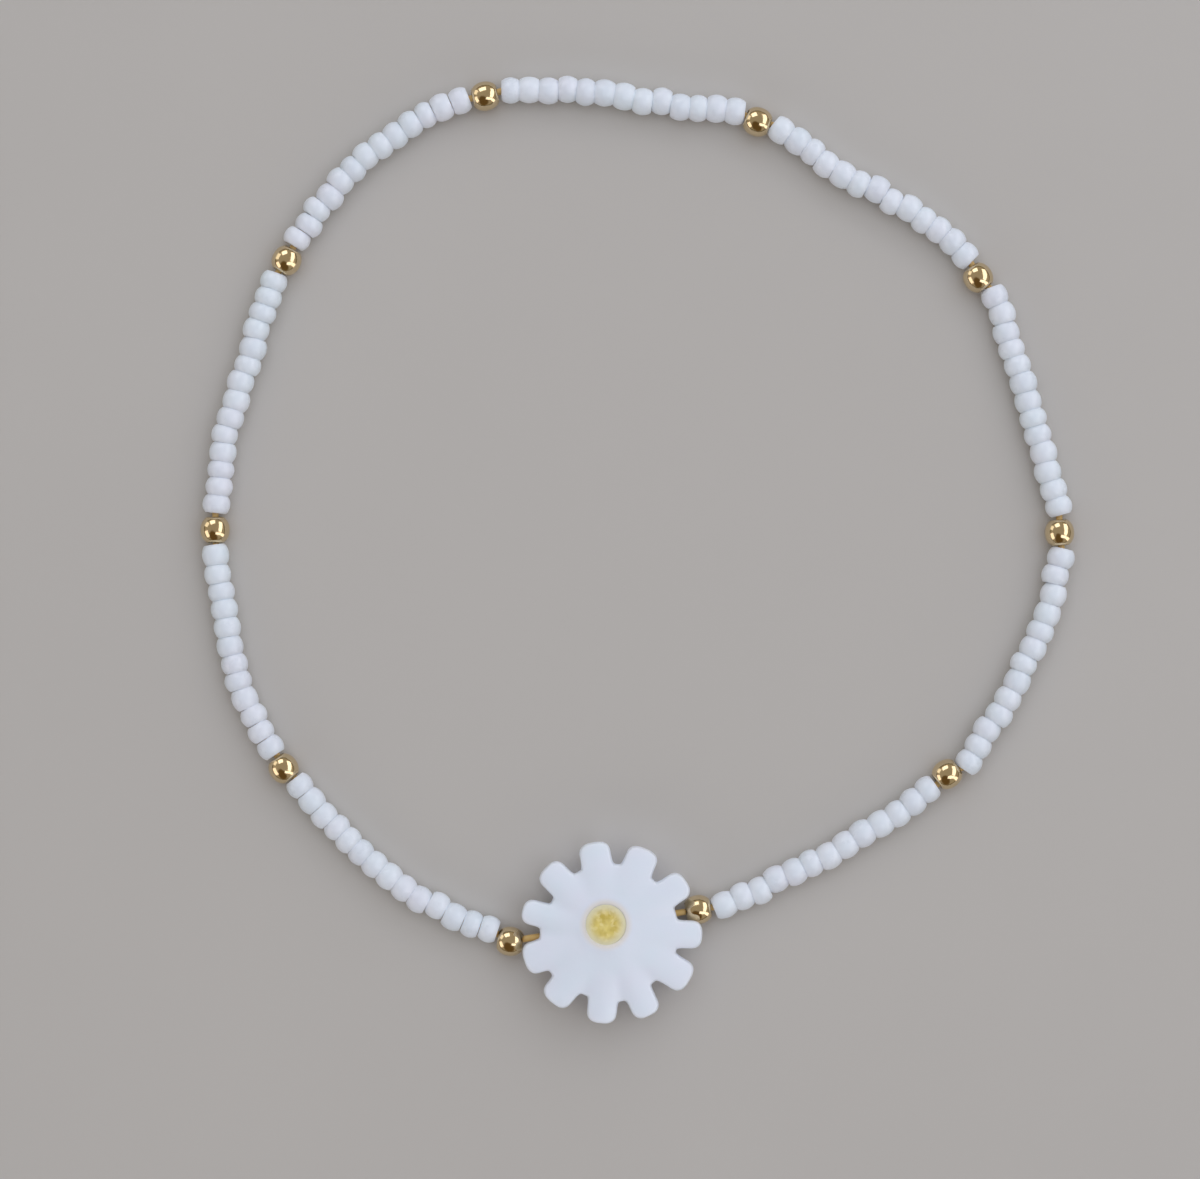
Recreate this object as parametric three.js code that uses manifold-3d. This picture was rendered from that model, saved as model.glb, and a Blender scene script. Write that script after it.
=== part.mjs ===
// A stretch bracelet lying flat: nine runs of small white seed beads, ten round gold beads
// between them, and one white daisy bead with a yellow centre, all on one loop of elastic.
// Millimetres, +Z up. It lies on z = 0 with the daisy at -Y and the wrist hollow round the Z axis.
import * as THREE from 'three';
import { mergeVertices } from 'three/addons/utils/BufferGeometryUtils.js';
import Module from 'manifold-3d';

const wasm = await Module();
wasm.setup();

// Seed beads: short rounded glass rings, each a little different from the next.
const seedRadius = 0.96;
const seedBore = 0.54;
const seedWaist = 0.7;          // radius where two seeds meet, as a part of the seed's own
const seedCrown = 0.22;         // how far the full width reaches from a seed's middle, in seed lengths
const lengthScatter = 0.1;      // share by which a seed is longer or shorter than its neighbours
const radiusScatter = 0.025;    // share by which it is fatter or thinner
const sideScatter = 0.15;       // how far it sits to one side of the run's line
const seedSides = 10;

// Round gold beads, a little longer and fuller than a ball.
const goldRadius = 1.03;
const goldHalfLength = 1.07;
const goldFullness = 2.15;      // power of the profile: 2 is an ellipse, higher is squarer
const goldBore = 0.62;
const goldSides = 12;
const goldRings = 8;

// Elastic cord through every bore.
const cordRadius = 0.24;
const cordSides = 6;
const cordSteps = 116;
const cordSwing = 0.14;         // most that the cord leaves a gold bead's middle where the string bends
const cordStride = 3;           // the cord is led through the middle of one seed in three
const stringStep = 1.9;         // along the string, from a gold bead's middle to its neighbour's

// Daisy bead: a moulded flower, widest at its parting line, drawn in below it to a waist and
// a little more towards a flat back.
const daisyPlace = [-1.85, -26.6];
const backInset = 0.45;         // how much smaller the flat back is than the widest outline
const waistInset = 0.38;
const waistHeight = 1.15;
const partingHeight = 2.0;
const shoulderHeight = 2.3;
const edgeHeight = 2.5;
const edgeInset = 0.2;
const crownHeight = 3.2;        // top of the face beside the centre
const grooveDepth = 0.3;        // valleys that run from the notches towards the centre
const petalTip = 0.85;          // length of a petal's rounded tip
const tipShare = 0.6;           // how much of an inset the tip's length loses
const tipSquareness = 2.7;      // power of the tip's outline
const petalSpread = 0.9;        // radians from its heading within which a petal shapes the outline
const halvings = 26;            // steps of the search for a petal's edge
const webSharpness = 22;        // how tightly petals and web run into each other
const centreOffset = [-0.3, 0.6];
const recessRadius = 1.4;
const recessDepth = 0.4;
const daisyBoreRadius = 0.5;
const daisyBoreHeight = 1.3;
const insertGap = 0.08;
const insertDome = 0.12;

// Petals anticlockwise from +X. heading: degrees; width and reach of the petal; notch: radius of
// the bottom of the gap that follows it.
const petals = [
  { heading: -1.6, width: 1.9, reach: 6.4, notch: 4.75 },
  { heading: 34, width: 2.0, reach: 6.35, notch: 4.7 },
  { heading: 67, width: 2.2, reach: 6.3, notch: 4.75 },
  { heading: 101, width: 2.15, reach: 6.35, notch: 4.75 },
  { heading: 135, width: 2.05, reach: 6.35, notch: 4.6 },
  { heading: 165.8, width: 1.72, reach: 6.3, notch: 4.9 },
  { heading: 198.5, width: 2.2, reach: 6.3, notch: 5.0 },
  { heading: 230, width: 2.15, reach: 6.35, notch: 4.7 },
  { heading: 264, width: 2.05, reach: 6.35, notch: 4.85 },
  { heading: 295, width: 1.95, reach: 6.4, notch: 4.6 },
  { heading: 328.5, width: 2.2, reach: 6.45, notch: 4.75 },
];
// Where the outline is sampled from a petal's middle (0) to the middle of the gap (1).
const petalSteps = [0, 0.25, 0.42, 0.54, 0.62, 0.7, 0.8, 0.9];

// The loop clockwise, seen from above: the place of each gold bead, and the run of seeds after it
// from the first seed's middle to the last one's. bow carries the middle of a run outward, sway
// carries its first half outward and its second half inward. The daisy hangs between the sixth
// gold bead and the seventh, so the sixth has no seeds.
const stations = [
  { gold: [-10.6, 31.8], seeds: 13, first: [-8.83, 32.28], last: [6.9, 30.7], bow: 0.25, sway: 0.1 },
  { gold: [8.47, 30.0], seeds: 13, first: [10.2, 29.5], last: [23.0, 20.65], bow: 0.15, sway: -0.3 },
  { gold: [23.9, 19.1], seeds: 13, first: [25.1, 17.8], last: [29.52, 3.08], bow: 0.15, sway: 0.05 },
  { gold: [29.6, 1.25], seeds: 13, first: [29.74, -0.52], last: [23.25, -14.8], bow: 0.7, sway: 0.05 },
  { gold: [21.73, -15.65], seeds: 13, first: [20.45, -16.85], last: [6.12, -24.78], bow: 0.45, sway: 0 },
  { gold: [4.3, -25.13], seeds: 0 },
  { gold: [-8.85, -27.35], seeds: 14, first: [-10.35, -26.55], last: [-23.5, -16.4], bow: 1.25, sway: 0.1 },
  { gold: [-24.7, -15.25], seeds: 12, first: [-25.56, -13.73], last: [-29.4, -0.3], bow: 0.8, sway: 0.2 },
  { gold: [-29.5, 1.45], seeds: 14, first: [-29.45, 3.25], last: [-25.45, 18.85], bow: 0.45, sway: 0.1 },
  { gold: [-24.5, 20.3], seeds: 13, first: [-23.7, 21.8], last: [-12.35, 31.45], bow: 1.3, sway: 0 },
];

const finishes = {
  seedGlass: { color: 0xf1f3f7, roughness: 0.35, metalness: 0 },
  polishedGold: { color: 0xc9993f, roughness: 0.15, metalness: 1 },
  glossyWhite: { color: 0xf4f6fa, roughness: 0.15, metalness: 0 },
  yellowGlitter: { color: 0xd9bb45, roughness: 0.4, metalness: 0.2 },
  clearElastic: { color: 0xc9a25e, roughness: 0.5, metalness: 0 },
};

// A steady number from -1 to 1 for one bead: the same for the same two numbers every time.
function scatter(bead, kind) {
  const turn = Math.sin(bead * 12.9898 + kind * 78.233) * 43758.5453;
  return (turn - Math.floor(turn)) * 2 - 1;
}

function part(name, geometry, finish) {
  const mesh = new THREE.Mesh(geometry, new THREE.MeshStandardMaterial(finishes[finish]));
  mesh.name = name;
  return mesh;
}

// Geometry with only its positions, and its shared corners merged.
function plain(geometry) {
  geometry.deleteAttribute('normal');
  geometry.deleteAttribute('uv');
  return mergeVertices(geometry, 1e-4);
}

function solid(geometry) {
  const merged = plain(geometry);
  return new wasm.Manifold(new wasm.Mesh({
    numProp: 3,
    vertProperties: new Float32Array(merged.attributes.position.array),
    triVerts: new Uint32Array(merged.index.array),
  }));
}

function surface(manifold) {
  const mesh = manifold.getMesh();
  const geometry = new THREE.BufferGeometry();
  geometry.setAttribute('position', new THREE.BufferAttribute(mesh.vertProperties, 3));
  geometry.setIndex(new THREE.BufferAttribute(mesh.triVerts, 1));
  return geometry;
}

// The seeds of one run: where each lies along the straight line from first to last, and its size.
function seedsOf(station, run) {
  const chord = new THREE.Vector2(...station.last).sub(new THREE.Vector2(...station.first));
  const seeds = [];
  let along = 0;
  for (let i = 0; i < station.seeds; i++) {
    const length = 1 + lengthScatter * scatter(run * 20 + i, 1);
    along += length / 2;
    seeds.push({
      middle: along,
      length,
      radius: seedRadius * (1 + radiusScatter * scatter(run * 20 + i, 2)),
      side: sideScatter * scatter(run * 20 + i, 3),
    });
    along += length / 2;
  }
  const start = seeds[0].middle;
  const scale = chord.length() / (seeds[seeds.length - 1].middle - start);
  for (const seed of seeds) {
    seed.middle = (seed.middle - start) * scale;
    seed.length *= scale;
  }
  return seeds;
}

// A point of the run's curved line, s from its first seed, and the directions along and inward.
function runLine(station, s) {
  const first = new THREE.Vector2(...station.first);
  const chord = new THREE.Vector2(...station.last).sub(first);
  const span = chord.length();
  const ahead = chord.clone().divideScalar(span);
  const outward = new THREE.Vector2(-ahead.y, ahead.x);
  const t = s / span;
  const turn = 2 * Math.PI * t;
  const rise = station.bow * 4 * t * (1 - t) + station.sway * Math.sin(turn);
  const slope = (station.bow * 4 * (1 - 2 * t) + station.sway * 2 * Math.PI * Math.cos(turn)) / span;
  const point = first.clone().addScaledVector(ahead, s).addScaledVector(outward, rise);
  const inward = outward.clone().negate().addScaledVector(ahead, slope).normalize();
  return { point, inward };
}

// One run of seeds as a single solid, numbered like the gold bead before it: a turned string of
// barrels with a through bore, bent along the run's line with every seed touching the table.
function seedRun(station, run) {
  const seeds = seedsOf(station, run);
  const rings = [];
  const ring = (s, radius, side, height) => rings.push({ s, radius, side, height });
  seeds.forEach((seed, i) => {
    const before = seeds[i - 1] ?? seed;
    ring(
      seed.middle - seed.length / 2,
      seedWaist * Math.min(seed.radius, before.radius),
      (seed.side + before.side) / 2,
      (seed.radius + before.radius) / 2,
    );
    ring(seed.middle - seedCrown * seed.length, seed.radius, seed.side, seed.radius);
    ring(seed.middle + seedCrown * seed.length, seed.radius, seed.side, seed.radius);
  });
  const end = seeds[seeds.length - 1];
  ring(end.middle + end.length / 2, seedWaist * end.radius, end.side, end.radius);
  ring(end.middle + end.length / 2, seedBore, end.side, end.radius);
  for (let i = seeds.length - 2; i > 0; i -= 2) {
    ring(seeds[i].middle, seedBore, seeds[i].side, seeds[i].radius);
  }
  const start = seeds[0];
  ring(start.middle - start.length / 2, seedBore, start.side, start.radius);
  rings.push(rings[0]);

  const profile = rings.map(({ s, radius }) => new THREE.Vector2(radius, s));
  const geometry = new THREE.LatheGeometry(profile, seedSides);
  const position = geometry.attributes.position;
  for (let v = 0; v < position.count; v++) {
    const { side, height } = rings[v % rings.length];
    const { point, inward } = runLine(station, position.getY(v));
    point.addScaledVector(inward, position.getX(v) - side);
    position.setXYZ(v, point.x, point.y, position.getZ(v) + height);
  }
  return part(`seed_run_${run + 1}`, plain(geometry), 'seedGlass');
}

// A gold bead with a through bore, turned so that the bore follows the string. Its profile is a
// superellipse, cut off where it meets the bore.
function goldBead(name, place, heading) {
  const cap = Math.acos((goldBore / goldRadius) ** (goldFullness / 2));
  const profile = [];
  for (let i = 0; i <= goldRings; i++) {
    const angle = -cap + (2 * cap * i) / goldRings;
    const along = Math.sign(angle) * Math.abs(Math.sin(angle)) ** (2 / goldFullness);
    const across = Math.cos(angle) ** (2 / goldFullness);
    profile.push(new THREE.Vector2(goldRadius * across, goldHalfLength * along));
  }
  profile.push(profile[0]);
  const bead = part(name, plain(new THREE.LatheGeometry(profile, goldSides)), 'polishedGold');
  bead.position.set(place[0], place[1], goldRadius);
  bead.rotation.z = heading - Math.PI / 2;
  return bead;
}

// Distance from the middle to one petal's edge, in a direction turned away from its heading. A
// petal has straight sides and a superellipse for its tip, and the edge is found by halving.
function petalEdge(petal, turn, inset) {
  const reach = petal.reach - inset;
  const half = petal.width / 2 - inset;
  const tip = petalTip - tipShare * inset;
  let near = 0;
  let far = petal.reach + petal.width;
  for (let i = 0; i < halvings; i++) {
    const distance = (near + far) / 2;
    const lengthwise = Math.max(0, distance * Math.cos(turn) - reach + tip) / tip;
    const crosswise = (distance * Math.abs(Math.sin(turn))) / half;
    if (lengthwise ** tipSquareness + crosswise ** tipSquareness < 1) {
      near = distance;
    } else {
      far = distance;
    }
  }
  return near;
}

// Radius of the daisy's outline in one direction, drawn in by inset: a high power mean of the
// web's circle and of the petals near that direction.
function daisyOutline(angle, inset) {
  let sum = 0;
  petals.forEach((petal, i) => {
    const heading = THREE.MathUtils.degToRad(petal.heading);
    const turn = THREE.MathUtils.euclideanModulo(angle - heading + Math.PI, 2 * Math.PI) - Math.PI;
    const next = petals[(i + 1) % petals.length];
    const gap = THREE.MathUtils.euclideanModulo(next.heading - petal.heading, 360);
    if (turn >= 0 && turn < THREE.MathUtils.degToRad(gap)) {
      sum += (petal.notch - inset) ** webSharpness;
    }
    if (Math.abs(turn) < petalSpread) {
      sum += petalEdge(petal, turn, inset) ** webSharpness;
    }
  });
  return sum ** (1 / webSharpness);
}

// The directions in which the outline is sampled, closest together on the petals' flanks,
// each with its place across the petal: 0 in the middle, 1 in the gap.
function daisyDirections() {
  const directions = [];
  petals.forEach((petal, i) => {
    const next = petals[(i + 1) % petals.length];
    const half = THREE.MathUtils.euclideanModulo(next.heading - petal.heading, 360) / 2;
    for (const step of petalSteps) {
      directions.push({ angle: petal.heading + half * step, across: step });
    }
    directions.push({ angle: petal.heading + half, across: 1 });
    for (const step of petalSteps.slice(1).reverse()) {
      directions.push({ angle: petal.heading + 2 * half - half * step, across: step });
    }
  });
  return directions.map(({ angle, across }) => ({ angle: THREE.MathUtils.degToRad(angle), across }));
}

// The rings of the daisy from the middle of its back round to the middle of the recess, each a
// function that gives the ring's point in one direction.
function daisyRings() {
  const circle = (radius, height) => ({ angle }) => [
    centreOffset[0] + radius * Math.cos(angle),
    centreOffset[1] + radius * Math.sin(angle),
    height,
  ];
  const outline = (inset, height) => ({ angle }) => {
    const radius = daisyOutline(angle, inset);
    return [radius * Math.cos(angle), radius * Math.sin(angle), height];
  };
  const face = (share) => (direction) => {
    const inner = circle(recessRadius, crownHeight)(direction);
    const outer = outline(edgeInset, edgeHeight)(direction);
    const valley = grooveDepth * direction.across ** 4 * Math.sin(Math.PI * share);
    const height = edgeHeight + (crownHeight - edgeHeight) * Math.cos((share * Math.PI) / 2) - valley;
    // The rings stay round the daisy's middle, and drift to the centre's only close to it.
    const late = (1 - share) ** 3 - (1 - share);
    return [
      inner[0] + (outer[0] - inner[0]) * share + centreOffset[0] * late,
      inner[1] + (outer[1] - inner[1]) * share + centreOffset[1] * late,
      height,
    ];
  };
  return [
    circle(0, 0),
    outline(backInset, 0),
    outline(waistInset, waistHeight),
    outline(0, partingHeight),
    outline(0, shoulderHeight),
    face(1),
    face(0.75),
    face(0.45),
    face(0.15),
    circle(recessRadius, crownHeight),
    circle(recessRadius, crownHeight - recessDepth),
    circle(0, crownHeight - recessDepth),
  ];
}

function daisyBead(boreStart, boreEnd) {
  const directions = daisyDirections();
  const rings = daisyRings();
  const profile = rings.map((ring, j) => new THREE.Vector2(j === 0 || j === rings.length - 1 ? 0 : 1, j));
  const geometry = new THREE.LatheGeometry(profile, directions.length);
  const position = geometry.attributes.position;
  for (let v = 0; v < position.count; v++) {
    const turn = Math.floor(v / rings.length) % directions.length;
    const direction = directions[turn];
    position.setXYZ(v, ...rings[v % rings.length](direction));
  }
  const boreLength = boreStart.distanceTo(boreEnd);
  const drill = new THREE.CylinderGeometry(daisyBoreRadius, daisyBoreRadius, boreLength, 12);
  drill.rotateZ(-Math.PI / 2);
  drill.rotateZ(Math.atan2(boreEnd.y - boreStart.y, boreEnd.x - boreStart.x));
  const middle = boreStart.clone().add(boreEnd).divideScalar(2);
  drill.translate(middle.x - daisyPlace[0], middle.y - daisyPlace[1], daisyBoreHeight);
  const bead = part('daisy', surface(solid(geometry).subtract(solid(drill))), 'glossyWhite');
  bead.position.set(daisyPlace[0], daisyPlace[1], 0);
  return bead;
}

// The yellow centre: a low dome that sits in the daisy's recess.
function daisyCentre() {
  const radius = recessRadius - insertGap;
  const thickness = recessDepth - insertGap;
  const profile = [
    new THREE.Vector2(0, 0),
    new THREE.Vector2(radius, 0),
    new THREE.Vector2(radius, thickness - insertDome),
    new THREE.Vector2(radius * 0.6, thickness - insertDome * 0.3),
    new THREE.Vector2(0, thickness),
  ];
  const geometry = new THREE.LatheGeometry(profile, 20);
  geometry.rotateX(Math.PI / 2);
  const insert = part('daisy_centre', plain(geometry), 'yellowGlitter');
  insert.position.set(
    daisyPlace[0] + centreOffset[0],
    daisyPlace[1] + centreOffset[1],
    crownHeight - recessDepth + insertGap,
  );
  return insert;
}

// The loop of elastic: an endless tube along a smooth line through every bore.
function elasticCord(route) {
  const path = new THREE.CatmullRomCurve3(route, true, 'centripetal');
  path.arcLengthDivisions = 2000;
  const geometry = new THREE.TorusGeometry(1, cordRadius, cordSides, cordSteps);
  const { position, uv } = geometry.attributes;
  for (let v = 0; v < position.count; v++) {
    const share = (1 - uv.getX(v)) % 1;
    const around = uv.getY(v) * 2 * Math.PI;
    const point = path.getPointAt(share);
    const ahead = path.getTangentAt(share);
    const outward = new THREE.Vector3(-ahead.y, ahead.x, 0).normalize();
    point.addScaledVector(outward, cordRadius * Math.cos(around));
    point.z += cordRadius * Math.sin(around);
    position.setXYZ(v, point.x, point.y, point.z);
  }
  return part('elastic_cord', plain(geometry), 'clearElastic');
}

const place = (station) => new THREE.Vector3(...station.gold, goldRadius);

// The string's next point beyond a station's gold bead: the nearest seed, or the mouth of the
// daisy's bore on the way up to the gold bead on its other side.
function stringPoint(station, other, seed) {
  if (seed) {
    return new THREE.Vector3(...seed, seedRadius);
  }
  const from = place(station);
  const to = place(other).setZ(2 * daisyBoreHeight - goldRadius);
  return to.sub(from).setLength(stringStep).add(from);
}

const bracelet = new THREE.Group();
const route = [];
stations.forEach((station, i) => {
  const before = stations[(i + stations.length - 1) % stations.length];
  const after = stations[(i + 1) % stations.length];
  const comesFrom = stringPoint(station, before, before.last);
  const goesTo = stringPoint(station, after, station.first);
  const heading = Math.atan2(goesTo.y - comesFrom.y, goesTo.x - comesFrom.x);
  const swing = comesFrom.clone().add(goesTo).divideScalar(2).sub(place(station)).divideScalar(2);
  bracelet.add(goldBead(`gold_bead_${i + 1}`, station.gold, heading));
  if (!before.seeds) {
    route.push(comesFrom);
  }
  route.push(place(station).add(swing.clampLength(0, cordSwing)));
  if (station.seeds) {
    bracelet.add(seedRun(station, i));
    const seeds = seedsOf(station, i);
    const last = seeds.length - 1;
    for (const seed of seeds.filter((_, k) => k % cordStride === 0 || k === last)) {
      const { point } = runLine(station, seed.middle);
      route.push(new THREE.Vector3(point.x, point.y, seedRadius));
    }
  } else {
    route.push(goesTo, place(station).add(place(after)).divideScalar(2).setZ(daisyBoreHeight));
    bracelet.add(daisyBead(place(after), place(station)));
    bracelet.add(daisyCentre());
  }
});
bracelet.add(elasticCord(route));

// Put the origin under the middle of the whole bracelet.
const box = new THREE.Box3().setFromObject(bracelet);
const middle = box.getCenter(new THREE.Vector3());
bracelet.position.set(-middle.x, -middle.y, -box.min.z);

export default bracelet;
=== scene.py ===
# A stretch bracelet lying flat: runs of small white seed beads between gold beads, and one
# white daisy bead, on a loop of elastic. Lengths in the dictionaries are in millimetres.
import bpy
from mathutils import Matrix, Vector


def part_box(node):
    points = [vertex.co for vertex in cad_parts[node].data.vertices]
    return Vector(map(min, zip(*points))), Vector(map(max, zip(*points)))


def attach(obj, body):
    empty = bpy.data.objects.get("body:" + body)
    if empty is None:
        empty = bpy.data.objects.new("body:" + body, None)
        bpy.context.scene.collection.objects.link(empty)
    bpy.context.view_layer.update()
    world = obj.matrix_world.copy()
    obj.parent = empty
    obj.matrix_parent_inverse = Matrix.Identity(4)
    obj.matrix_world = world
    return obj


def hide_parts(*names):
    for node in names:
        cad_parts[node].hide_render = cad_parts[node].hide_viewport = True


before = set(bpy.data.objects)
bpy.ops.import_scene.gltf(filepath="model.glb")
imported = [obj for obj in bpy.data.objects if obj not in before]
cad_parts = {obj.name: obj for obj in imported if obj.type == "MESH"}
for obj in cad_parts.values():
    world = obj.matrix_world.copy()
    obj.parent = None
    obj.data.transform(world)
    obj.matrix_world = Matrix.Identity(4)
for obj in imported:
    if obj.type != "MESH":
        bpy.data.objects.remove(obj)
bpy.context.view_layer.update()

import bpy
import numpy as np
from mathutils import Matrix, Vector

millimetre = 0.001      # in metres
fullTurn = 2 * np.pi
upright = np.array((0, 0, 1))

# The loop clockwise, seen from above: each gold bead's place, and the run of seeds after it
# from the first seed's middle to the last one's. bow carries the middle of a run outward, sway
# carries its first half outward and its second half inward. The daisy follows the sixth bead.
stations = [
    dict(gold=(-10.6, 31.8), seeds=13, first=(-8.83, 32.28), last=(6.9, 30.7), bow=0.25, sway=0.1),
    dict(gold=(8.47, 30.0), seeds=13, first=(10.2, 29.5), last=(23.0, 20.65), bow=0.15, sway=-0.3),
    dict(gold=(23.9, 19.1), seeds=13, first=(25.1, 17.8), last=(29.52, 3.08), bow=0.15, sway=0.05),
    dict(gold=(29.6, 1.25), seeds=13, first=(29.74, -0.52), last=(23.25, -14.8), bow=0.7, sway=0.05),
    dict(gold=(21.73, -15.65), seeds=13, first=(20.45, -16.85), last=(6.12, -24.78), bow=0.45, sway=0),
    dict(gold=(4.3, -25.13), seeds=0),
    dict(gold=(-8.85, -27.35), seeds=14, first=(-10.35, -26.55), last=(-23.5, -16.4), bow=1.25, sway=0.1),
    dict(gold=(-24.7, -15.25), seeds=12, first=(-25.56, -13.73), last=(-29.4, -0.3), bow=0.8, sway=0.2),
    dict(gold=(-29.5, 1.45), seeds=14, first=(-29.45, 3.25), last=(-25.45, 18.85), bow=0.45, sway=0.1),
    dict(gold=(-24.5, 20.3), seeds=13, first=(-23.7, 21.8), last=(-12.35, 31.45), bow=1.3, sway=0),
]


# Straight line from first to last, plus a parabola times bow and one sine wave times sway to
# the outward side. inward is square to that curve.
def runLine(station, walked):
    first = np.array(station["first"])
    chord = np.array(station["last"]) - first
    span = np.hypot(*chord)
    ahead = chord / span
    outward = np.array((-ahead[1], ahead[0]))
    share = walked / span
    bow, sway = station["bow"], station["sway"]
    rise = bow * 4 * share * (1 - share) + sway * np.sin(fullTurn * share)
    slope = (bow * 4 * (1 - 2 * share) + sway * fullTurn * np.cos(fullTurn * share)) / span
    point = first + ahead * walked[:, None] + outward * rise[:, None]
    inward = ahead * slope[:, None] - outward
    return point, inward / np.hypot(inward[:, 0], inward[:, 1])[:, None]


# Sign kept, size raised to a power: bends circles into superellipses.
def bent(value, power):
    return np.sign(value) * np.abs(value) ** power


# Two coordinates turned in their own plane by the usual sum of sines and cosines.
def turned(first, second, angle):
    return (
        first * np.cos(angle) - second * np.sin(angle),
        first * np.sin(angle) + second * np.cos(angle),
    )


# Angles of a quarter turn, with both its ends, and of a whole turn, without its end.
def quarterRound(steps):
    return np.linspace(0, np.pi / 2, steps + 1)


def allRound(sides):
    return np.linspace(0, fullTurn, sides, endpoint=False)


# Quads between neighbouring rows and columns of a grid. Columns always run round; rows run
# round as well on a closed ring.
def gridFaces(rows, columns, closed):
    row = np.arange(rows if closed else rows - 1)[:, None] + np.zeros(columns, int)
    column = np.zeros_like(row) + np.arange(columns)
    nextRow, nextColumn = (row + 1) % rows, (column + 1) % columns
    corners = (
        row * columns + column, row * columns + nextColumn,
        nextRow * columns + nextColumn, nextRow * columns + column,
    )
    return np.stack(corners, -1).reshape(-1, 4)


# Triangles from one pole point to the row of points that starts at start.
def poleFaces(pole, start, columns, flip):
    column = np.arange(columns)
    ends = (start + (column + 1) % columns, start + column)
    if flip:
        ends = ends[::-1]
    return np.stack((np.full(columns, pole), *ends), -1)


# A grid closed at both ends by a pole. The poles are the two points after the grid's own.
def cappedFaces(rows, columns):
    last = rows * columns
    return [
        gridFaces(rows, columns, False),
        poleFaces(last, 0, columns, False),
        poleFaces(last + 1, last - columns, columns, True),
    ]


# Six times the volume inside the faces: the sum of corner products, as triangle fans.
def signedVolume(points, faces):
    total = 0.0
    for corner in range(1, faces.shape[1] - 1):
        first, second, third = (points[faces[:, each]] for each in (0, corner, corner + 1))
        total += np.einsum("ij,ij->", first, np.cross(second, third))
    return total


# A mesh object at the origin, from points in the millimetres of stations, with its faces turned
# outward. values: one number a point, kept as a named attribute.
def makePiece(name, points, faceSets, sharpAngle=None, values=None):
    place = (points + tableShift) * millimetre
    if sum(signedVolume(place, faces) for faces in faceSets) < 0:
        faceSets = [faces[:, ::-1] for faces in faceSets]
    mesh = bpy.data.meshes.new(name)
    mesh.from_pydata(place.tolist(), [], sum((faces.tolist() for faces in faceSets), []))
    mesh.shade_smooth()
    if sharpAngle:
        mesh.set_sharp_from_angle(angle=np.radians(sharpAngle))
    for label, numbers in (values or {}).items():
        attribute = mesh.attributes.new(label, "FLOAT", "POINT")
        attribute.data.foreach_set("value", numbers.astype(np.float32))
    piece = bpy.data.objects.new(name, mesh)
    bpy.context.scene.collection.objects.link(piece)
    return piece


# Hangs a finished piece under the root body, gives it its material, and hides the CAD nodes it stands for.
def settle(piece, material, slot, *nodes):
    piece.data.materials.append(material)
    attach(piece, "root")
    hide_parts(*nodes)
    return piece


seedBead = dict(
    radius=0.965, bore=0.46,
    ringRadius=0.60,                              # to the middle of a seed's wall
    lengthScatter=0.1, radiusScatter=0.025, sideScatter=0.15,
    flatEnd=0.93,                                 # share of its profile at which a seed ends flat
    fullness=1.78, fullnessScatter=0.1,           # power of the rounded profile
    yaw=0.6, pitch=0.4,                           # degrees a seed leans, at most
    closeness=1.012,                              # how tightly the flat ends press together
    oval=0.012, ovalTurn=3,                       # share out of round, and where, in radians
    numbersPerRun=20,                             # seed numbers set aside for each run
    sides=26, steps=16, sharpAngle=35,
)
seedTraits = ("length", "radius", "side", "fullness", "oval", "yaw", "pitch", "tone")
scatterSine = dict(perSeed=12.9898, perTrait=78.233, size=43758.5453)


# Fraction of a large sine, spread from -1 to 1: a steady scatter for one seed and one trait.
def scatter(seed, trait):
    order = seedTraits.index(trait) + 1
    turn = np.sin(seed * scatterSine["perSeed"] + order * scatterSine["perTrait"]) * scatterSine["size"]
    return (turn - np.floor(turn)) * 2 - 1


# Lengths scattered about 1, laid end to end, and stretched so that the first and last middles
# are as far apart as the run's two ends.
def seedsOf(station, run):
    number = run * seedBead["numbersPerRun"] + np.arange(station["seeds"])
    length = 1 + seedBead["lengthScatter"] * scatter(number, "length")
    middle = np.cumsum(length) - length / 2
    chord = np.hypot(*np.subtract(station["last"], station["first"]))
    scale = chord / (middle[-1] - middle[0])
    return dict(
        number=number,
        length=length * scale,
        middle=(middle - middle[0]) * scale,
        radius=seedBead["radius"] * (1 + seedBead["radiusScatter"] * scatter(number, "radius")),
        side=seedBead["sideScatter"] * scatter(number, "side"),
    )


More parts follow.
